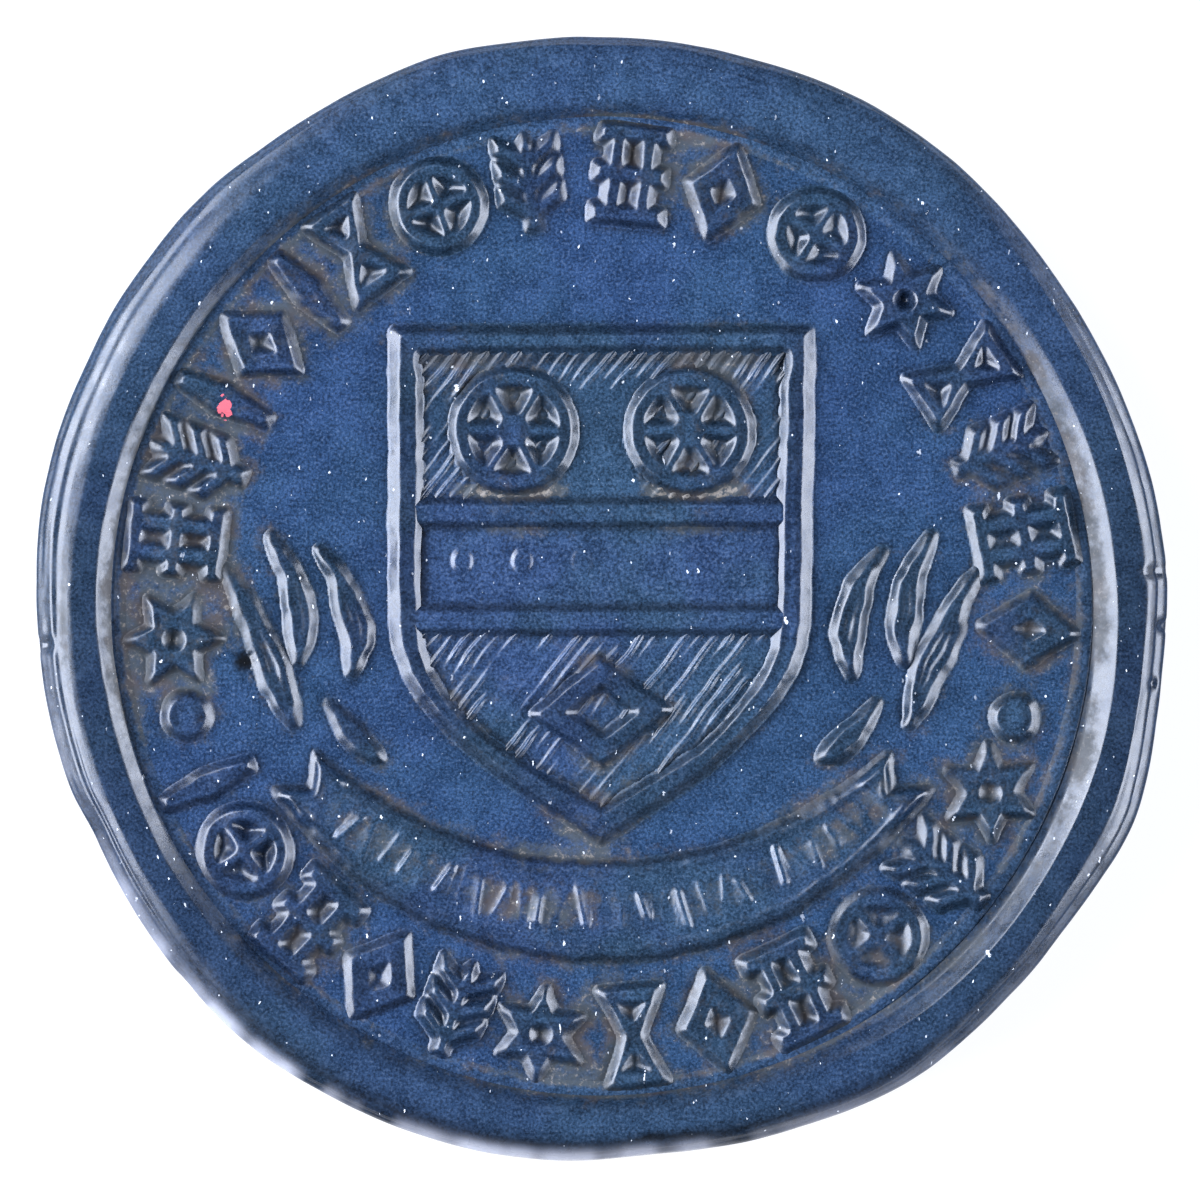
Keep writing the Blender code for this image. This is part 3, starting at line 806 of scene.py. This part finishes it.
def rim_surface(angle):
    """Radius and height of the rim's whole section at each angle, rounded and uneven."""
    upper_radius, upper_height = rim_corners(angle)
    radius = np.concatenate([upper_radius, upper_radius[:, ::-1]], axis=1)
    height = np.concatenate([upper_height, -upper_height[:, ::-1]], axis=1)
    columns = [FINE_COLUMN] * RIM_CORNERS + [COARSE_COLUMN] * RIM_CORNERS
    columns[-1] = HIDDEN_COLUMN
    weights = section_weights(radius.mean(0), height.mean(0), columns)
    for i in range(2 * RIM_CORNERS):
        corner = min(i, 2 * RIM_CORNERS - 1 - i)
        wander = RIM_WANDER[corner] * MM
        drift = wander * round_noise(angle, 26, 31 + i // 2)
        ripple = 0.35 * wander * round_noise(angle, 140, 61 + i)
        radius[:, i:i + 1] += RIM_FOLLOW[corner] * edge_shift(angle) + drift + ripple
        height[:, i:i + 1] += 0.3 * wander * round_noise(angle, 40, 91 + i)
    return radius @ weights.T, MIDDLE + height @ weights.T


def nicked(angle, radius, height, upper):
    """The rim's surface with nicks cut into its upper half."""
    for centre, width, nick_radius, across, depth in RIM_NICKS:
        reach = bell(angle, centre, width)
        cut = depth * MM * reach * hump(radius - nick_radius * MM, across * MM) * upper
        height = height - cut
        radius = radius - 0.5 * cut
    return radius, height


def make_rim():
    """The rim: one closed ring whose section changes round the token."""
    angle = turn_angles(RIM_STEPS)
    radius, height = rim_surface(angle)
    upper = height > MIDDLE
    radius, height = nicked(angle, radius, height, upper)
    x, y = turned_points(angle, radius)
    foot = hump(radius - RIM_FOOT, 0.07 * MM)
    bevel = hump(radius - 10.98 * MM, 0.13 * MM)
    dust = wall_dust(angle, radius) + 0.80 * bell(angle, 181.0, 8.0) * bevel
    grime = (dirtiness(x, y) * foot + dust) * upper
    piece = turned_piece("rim_moulded", angle, radius, height, grime=grime,
                         tint=rim_tint(angle, radius, height),
                         worn=flash_wear(angle, radius, height))
    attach(piece, "root")
    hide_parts("rim")
    return piece


def make_step(name, face, outward):
    """A low rounded step along the foot of the rim; outward is 1 on the obverse."""
    # Radius and height above the face, in mm
    profile = np.array((
        (9.60, -0.020), (9.67, -0.001), (9.74, 0.016), (9.81, 0.031), (9.87, 0.041),
        (9.93, 0.046), (9.98, 0.046), (10.02, 0.030), (10.02, -0.030),
    )) * MM
    angle = turn_angles(RIM_STEPS)
    wander = 0.020 * MM * round_noise(angle, 30, 200 + outward)
    inner = np.clip((9.9 * MM - profile[:, 0]) / (0.15 * MM), 0.0, 1.0)
    radius = profile[:, 0] + wander * inner
    uneven = 1.0 + 0.15 * round_noise(angle, 50, 210)
    rise = np.interp(profile[:, 0], (9.86 * MM, 9.98 * MM), (0.0, 0.045 * MM))
    rise = rise * bell(angle, 182.0, 38.0) * (profile[:, 1] > 0.0) * (outward > 0)
    height = face + outward * (profile[:, 1] * uneven + rise)
    if outward < 0:
        radius, height = radius[:, ::-1], height[:, ::-1]
    x, y = turned_points(angle, radius)
    foot = hump(radius - STEP_RADIUS, 0.10 * MM)
    # Painted shade: the step darker left and right and brighter at the top, with a painted shaded
    # line at the foot of the rim's wall, deepest at the left
    lift = np.sin(angle)
    level = 0.76 + 0.24 * lift * lift + 0.17 * np.maximum(lift, 0.0)
    line = hump(radius - 9.93 * MM, 0.07 * MM)
    tint = level * (1.0 - (0.15 + 0.45 * bell(angle, 182.0, 50.0)) * line)
    grime = 0.18 + dirtiness(x, y) * foot
    piece = turned_piece(name + "_moulded", angle, radius, height, grime=grime, tint=tint)
    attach(piece, "root")
    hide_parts(name)
    return piece


def make_web():
    """The thin disc, with the floor of the obverse and the floor of the reverse."""
    angle = turn_angles(WEB_STEPS)
    top_radius = np.linspace(HUB_RADIUS, WEB_RADIUS, WEB_TOP_COLUMNS)
    low_radius = np.linspace(WEB_RADIUS, HUB_RADIUS, WEB_LOW_COLUMNS)
    radius = np.concatenate([top_radius, low_radius])
    x, y = turned_points(angle, radius)
    wave = 0.006 * MM * fractal_noise(x, y, 3.0 * MM, 5, 2)
    on_top = np.arange(len(radius)) < len(top_radius)
    height = np.where(on_top, field_height(x, y), REVERSE_FIELD + wave)
    gap = np.where(on_top, relief_distance(x, y, OUTLINES), FAR)
    step_foot = hump(radius - STEP_RADIUS, 0.26 * MM)
    hole = pit(x, y) * on_top
    grime = dirtiness(x, y) * np.maximum(recess(gap), step_foot) * on_top * (1.0 - hole)
    # Painted shade along the foot of each mark, and the chipped pit's own dark colour
    tint = corner_shade(gap) * (1.0 - PIT_SHADE * hole)
    piece = disc_piece("field_moulded", x, y, height, grime=grime, tint=tint)
    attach(piece, "root")
    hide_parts("field_web")
    return piece


# The features of the reverse reach a little into the disc
REVERSE_BASE = REVERSE_FIELD + 0.03 * MM


def make_reverse_ring():
    """A low rounded ring on the reverse."""
    low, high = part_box("reverse_ring")
    width = 0.36 * MM
    angle = turn_angles(REVERSE_STEPS)
    turn = np.linspace(0.0, math.pi, 15)
    half = 0.5 * width + 0.10 * MM
    radius = high.x - 0.5 * width + half * np.cos(turn)
    height = REVERSE_BASE - (REVERSE_BASE - low.z) * np.clip(1.25 * np.sin(turn), 0.0, 1.0)
    radius = radius + 0.012 * MM * round_noise(angle, 40, 301)
    height = np.broadcast_to(height, radius.shape)
    piece = turned_piece("reverse_ring_moulded", angle, radius[:, ::-1], height[:, ::-1])
    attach(piece, "root")
    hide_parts("reverse_ring")
    return piece


def make_reverse_panel():
    """A low round panel with a soft edge in the middle of the reverse."""
    low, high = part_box("reverse_panel")
    edge = 0.16 * MM
    angle = turn_angles(REVERSE_STEPS)
    steps = np.linspace(0.0, 1.0, 9)
    share = steps * steps * (3.0 - 2.0 * steps)
    edge_radius = high.x + edge * (0.5 - steps)
    edge_height = REVERSE_BASE - (REVERSE_BASE - low.z) * share
    hub = 0.3 * MM
    flat = np.linspace(edge_radius[-1], hub, 30)[1:]
    under = np.linspace(hub, edge_radius[0], 6)[:-1]
    x, y = turned_points(angle, np.concatenate([under, edge_radius, flat]))
    height = np.pad(edge_height, (len(under), len(flat)), "edge")
    wave = 0.004 * MM * fractal_noise(x, y, 1.5 * MM, 8, 3)
    height = height + wave * (height < REVERSE_BASE - TOLERANCE)
    piece = disc_piece("reverse_panel_moulded", x, y, height)
    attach(piece, "root")
    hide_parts("reverse_panel")
    return piece


# -------- materials

class Graph:
    """A material's node tree, with short calls for the nodes that it uses."""

    def __init__(self, name):
        self.material = bpy.data.materials.new(name)
        self.material.use_nodes = True
        self.tree = self.material.node_tree
        self.shader = self.tree.nodes["Principled BSDF"]
        position = self.add("ShaderNodeTexCoord")
        self.place = position.outputs["Object"]
        self.facing = self.add("ShaderNodeSeparateXYZ", {0: position.outputs["Normal"]})

    def add(self, kind, inputs=None, **settings):
        """A new node with its inputs fed and its settings made."""
        made = self.tree.nodes.new(kind)
        for key, value in settings.items():
            setattr(made, key, value)
        self.feed(made, inputs or {})
        return made

    def feed(self, target, inputs):
        """Links each socket of a node to an output, or sets it to a plain value."""
        for socket, value in inputs.items():
            if isinstance(value, bpy.types.NodeSocket):
                self.tree.links.new(value, target.inputs[socket])
            else:
                target.inputs[socket].default_value = value

    def noise(self, scale, detail=2.0, roughness=0.5):
        """Noise from 0 to 1, with about scale waves in a metre."""
        inputs = {"Vector": self.place, "Scale": scale, "Detail": detail, "Roughness": roughness}
        return self.add("ShaderNodeTexNoise", inputs).outputs["Fac"]

    def ramp(self, value, low, high, start=0.0, end=1.0):
        """A smooth rise from start to end as the value goes from low to high."""
        inputs = {"Value": value, "From Min": low, "From Max": high, "To Min": start, "To Max": end}
        return self.add("ShaderNodeMapRange", inputs, interpolation_type="SMOOTHSTEP").outputs[0]

    def math(self, operation, a, b):
        return self.add("ShaderNodeMath", {0: a, 1: b}, operation=operation).outputs[0]

    def mix(self, share, a, b):
        """Colour a turning into colour b."""
        return self.add("ShaderNodeMix", {0: share, 6: a, 7: b}, data_type="RGBA").outputs[2]

    def scale(self, colour, amount):
        return self.add("ShaderNodeVectorMath", {0: colour, 3: amount}, operation="SCALE").outputs[0]

    def attribute(self, name):
        return self.add("ShaderNodeAttribute", attribute_name=name).outputs["Fac"]


PLASTIC_IOR = 1.52
BUMP_DEPTH = 0.0016 * MM
SPECK_WHITE = (0.75, 0.78, 0.82, 1.0)
GRAIN_PALE = (0.120, 0.155, 0.215, 1.0)
WORN_PALE = (0.52, 0.53, 0.60, 1.0)
PAINT_RED = (0.62, 0.12, 0.15, 1.0)
FLECK_PLACE = (-7.67 * MM, 4.05 * MM, 1.80 * MM)
DIRT_BROWN = (0.056, 0.043, 0.036, 1.0)
DIRT_GREY = (0.043, 0.053, 0.058, 1.0)
DIRT_TAN = (0.320, 0.275, 0.225, 1.0)

# Pale specks and fibres: cells per metre, largest half-width in cells, turn in radians, length
# over width, and the share of the cells that stay empty
SPECK_LAYERS = (
    (560.0, 0.026, 0.4, 1.8, 0.66), (1300.0, 0.038, 1.7, 1.8, 0.66),
    (1000.0, 0.032, 2.6, 1.8, 0.66), (2600.0, 0.052, 0.9, 1.6, 0.50),
    (1500.0, 0.026, 1.2, 9.0, 0.93), (1500.0, 0.026, 2.5, 7.0, 0.93),
)


def fleck_of_paint(graph, ragged):
    """1 on one small stray fleck of red paint."""
    centred = graph.add("ShaderNodeVectorMath", {0: graph.place, 1: FLECK_PLACE},
                        operation="SUBTRACT")
    flat = graph.add("ShaderNodeVectorMath", {0: centred.outputs[0], 1: (1.0, 0.60, 0.30)},
                     operation="MULTIPLY")
    away = graph.add("ShaderNodeVectorMath", {0: flat.outputs[0]}, operation="LENGTH")
    ragged = graph.ramp(ragged, 0.35, 0.62, 0.08 * MM, 0.17 * MM)
    return graph.math("LESS_THAN", away.outputs["Value"], ragged)


def grained(graph, blue, teal, mottle, grain):
    """The clean plastic's colour: two blues in broad patches, mottled and grained."""
    broad = graph.ramp(graph.noise(330.0, 3.0), 0.38, 0.62)
    colour = graph.mix(broad, blue, teal)
    shade = graph.ramp(mottle, 0.32, 0.68, 0.80, 1.18)
    fleck = graph.ramp(grain, 0.30, 0.62, 0.36, 1.12)
    colour = graph.scale(colour, graph.math("MULTIPLY", shade, fleck))
    return graph.mix(graph.ramp(grain, 0.52, 0.80, 0.0, 0.55), colour, GRAIN_PALE)


def dirt_colour(graph):
    """Grey and brown dirt, with tan grit in it, more where it lies thick."""
    dirt = graph.mix(graph.ramp(graph.noise(1100.0, 3.0), 0.46, 0.60), DIRT_GREY, DIRT_BROWN)
    thick = graph.ramp(graph.attribute("grime"), 1.0, 1.6, 0.0, 0.18)
    grit = graph.math("ADD", graph.noise(9500.0, 3.0, 0.7), thick)
    return graph.mix(graph.ramp(grit, 0.53, 0.78), dirt, DIRT_TAN)


def dusted(graph, colour, grain):
    """A colour with pale specks and fibres on faces that aren't steep."""
    level = graph.math("ABSOLUTE", graph.facing.outputs[2], 0.0)
    level = graph.ramp(level, 0.35, 0.60)
    bent = graph.add("ShaderNodeTexNoise", {"Vector": graph.place, "Scale": 2600.0})
    bent = graph.scale(bent.outputs["Color"], 0.20 * MM)
    bent = graph.add("ShaderNodeVectorMath", {0: graph.place, 1: bent}, operation="ADD")
    for scale, largest, turn, length, rarity in SPECK_LAYERS:
        spot = graph.add("ShaderNodeMapping", {
            "Vector": bent.outputs[0], "Rotation": (0.0, 0.0, turn),
            "Scale": (1.0, 1.0 / length, 1.0)
        })
        cells = graph.add("ShaderNodeTexVoronoi", {
            "Vector": spot.outputs["Vector"], "Scale": scale
        }, voronoi_dimensions="2D")
        pick = graph.add("ShaderNodeSeparateColor", {0: cells.outputs["Color"]})
        size = graph.ramp(pick.outputs[0], rarity, 1.0, 0.0, largest)
        ragged = graph.math("MULTIPLY", size, graph.ramp(grain, 0.30, 0.60))
        speck = graph.math("LESS_THAN", cells.outputs["Distance"], ragged)
        faint = graph.math("MULTIPLY", graph.ramp(pick.outputs[1], 0.0, 1.0, 0.25, 1.0), level)
        colour = graph.mix(graph.math("MULTIPLY", speck, faint), colour, SPECK_WHITE)
    return colour


def plastic(name, blue, teal, roughness):
    """Dark moulded plastic with grain, mottling, dirt in its recesses, painted shade and pale dust.
    """
    graph = Graph(name)
    mottle = graph.noise(2100.0, 4.0, 0.6)
    grain = graph.noise(17000.0, 2.0, 0.7)
    colour = grained(graph, blue, teal, mottle, grain)
    patchy = graph.math("SUBTRACT", graph.noise(3300.0, 5.0, 0.7), 0.5)
    patchy = graph.math("MULTIPLY", patchy, 1.6)
    grime = graph.ramp(graph.math("ADD", graph.attribute("grime"), patchy), 0.22, 0.95)
    colour = graph.mix(graph.math("MULTIPLY", grime, 0.85), colour, dirt_colour(graph))
    # Painted shade: the colour scaled by each piece's painted shade and tone
    colour = graph.scale(colour, graph.attribute("tint"))
    colour = graph.mix(graph.attribute("worn"), colour, WORN_PALE)
    colour = dusted(graph, colour, grain)
    colour = graph.mix(fleck_of_paint(graph, graph.noise(7000.0, 3.0)), colour, PAINT_RED)

    rough = graph.ramp(mottle, 0.30, 0.70, roughness - 0.05, roughness + 0.08)
    rough = graph.math("ADD", rough, graph.math("MULTIPLY", grime, 0.30))
    height = graph.math("ADD", graph.math("MULTIPLY", mottle, 2.0), grain)
    bump = graph.add("ShaderNodeBump", {"Height": height, "Distance": BUMP_DEPTH})
    # Less gloss at grazing angles, so that flat faces don't turn white from the side
    grazing = graph.add("ShaderNodeLayerWeight", {"Blend": 0.5}).outputs["Facing"]
    gloss = graph.ramp(grazing, 0.36, 0.50, 0.50, 0.05)
    graph.feed(graph.shader, {
        "Base Color": colour, "Roughness": rough, "Normal": bump.outputs["Normal"],
        "IOR": PLASTIC_IOR, "Specular IOR Level": gloss,
    })
    return graph.material


def paint(pieces, material):
    """Gives a material to each of the pieces."""
    for piece in pieces:
        piece.data.materials.append(material)


# -------- studio

def make_floor():
    """A pale floor just under the token, evenly bright."""
    graph = Graph("floor_white")
    graph.feed(graph.shader, {
        "Base Color": (0.25, 0.25, 0.26, 1.0), "Roughness": 0.9, "Specular IOR Level": 0.0,
        "Emission Color": (1.0, 1.0, 1.0, 1.0), "Emission Strength": 0.80,
    })
    mesh = bpy.data.meshes.new("floor")
    side = 0.6
    level = -0.01 * MM
    square = ((-side, -side), (side, -side), (side, side), (-side, side))
    mesh.from_pydata([(x, y, level) for x, y in square], [], [(0, 1, 2, 3)])
    mesh.materials.append(graph.material)
    floor = bpy.data.objects.new("floor", mesh)
    bpy.context.scene.collection.objects.link(floor)


LAMP_COLOUR = (0.79, 0.85, 1.0)
LAMP_DISTANCE = 0.20

# Soft lights: azimuth, half their width, lowest and highest angle, in degrees, and radiance
SOFTBOXES = {
    "key_left": (180.0, 26.0, 2.0, 43.0, 17.5),
    "key_right": (-3.0, 28.0, 2.0, 33.0, 15.0),
    "fill_left": (144.0, 13.0, 22.0, 50.0, 10.0),
}


def softbox(name, azimuth, half_width, lowest, highest, radiance):
    """A soft light that spans those angles, in degrees, as seen from the token."""
    middle = math.radians(0.5 * (lowest + highest))
    half_height = math.radians(0.5 * (highest - lowest))
    light = bpy.data.lights.new(name, "AREA")
    light.shape = "RECTANGLE"
    light.size = 2.0 * LAMP_DISTANCE * math.tan(math.radians(half_width))
    light.size_y = 2.0 * LAMP_DISTANCE * math.tan(half_height)
    light.energy = radiance * math.pi * light.size * light.size_y
    light.color = LAMP_COLOUR
    item = bpy.data.objects.new(name, light)
    turn = math.radians(azimuth)
    item.location = (
        LAMP_DISTANCE * math.cos(middle) * math.cos(turn),
        LAMP_DISTANCE * math.cos(middle) * math.sin(turn),
        MIDDLE + LAMP_DISTANCE * math.sin(middle),
    )
    item.rotation_euler = (0.5 * math.pi - middle, 0.0, turn + 0.5 * math.pi)
    item.visible_camera = False
    bpy.context.scene.collection.objects.link(item)


def make_studio():
    """The dim room and its soft lights."""
    scene = bpy.context.scene
    scene.view_settings.view_transform = "Standard"
    world = bpy.data.worlds.new("dim_room")
    scene.world = world
    world.use_nodes = True
    backdrop = world.node_tree.nodes["Background"]
    backdrop.inputs["Color"].default_value = (0.80, 0.88, 1.0, 1.0)
    backdrop.inputs["Strength"].default_value = 0.15
    for name, spans in SOFTBOXES.items():
        softbox(name, *spans)


def make_camera():
    """A camera straight above the token, far enough for an almost parallel view."""
    frame_width = 24.42 * MM
    centre_x, centre_y = -0.035 * MM, 0.234 * MM
    camera = bpy.data.cameras.new("camera")
    camera.lens = 400.0
    camera.sensor_width = 36.0
    camera.clip_start = 0.01
    item = bpy.data.objects.new("camera", camera)
    height = frame_width * camera.lens / camera.sensor_width
    item.location = (centre_x, centre_y, RIM_TOP + height)
    bpy.context.scene.collection.objects.link(item)
    bpy.context.scene.camera = item


# -------- assembly

rim_material = plastic(
    "rim_plastic", blue=(0.023, 0.055, 0.122, 1.0), teal=(0.024, 0.058, 0.114, 1.0), roughness=0.27
)
field_material = plastic(
    "field_plastic", blue=(0.017, 0.046, 0.115, 1.0), teal=(0.017, 0.049, 0.108, 1.0), roughness=0.29
)
relief_material = plastic(
    "relief_plastic", blue=(0.022, 0.050, 0.120, 1.0), teal=(0.023, 0.057, 0.105, 1.0),
    roughness=0.28
)

paint([make_rim(), make_step("obverse_step_ring", OBVERSE_FIELD, 1),
       make_step("reverse_step_ring", REVERSE_FIELD, -1)], rim_material)
paint([make_web()], field_material)
paint(make_marks() + make_sprays() + make_shield() + [make_scroll()], relief_material)
paint([make_reverse_ring(), make_reverse_panel()], relief_material)
make_floor()
make_studio()
make_camera()
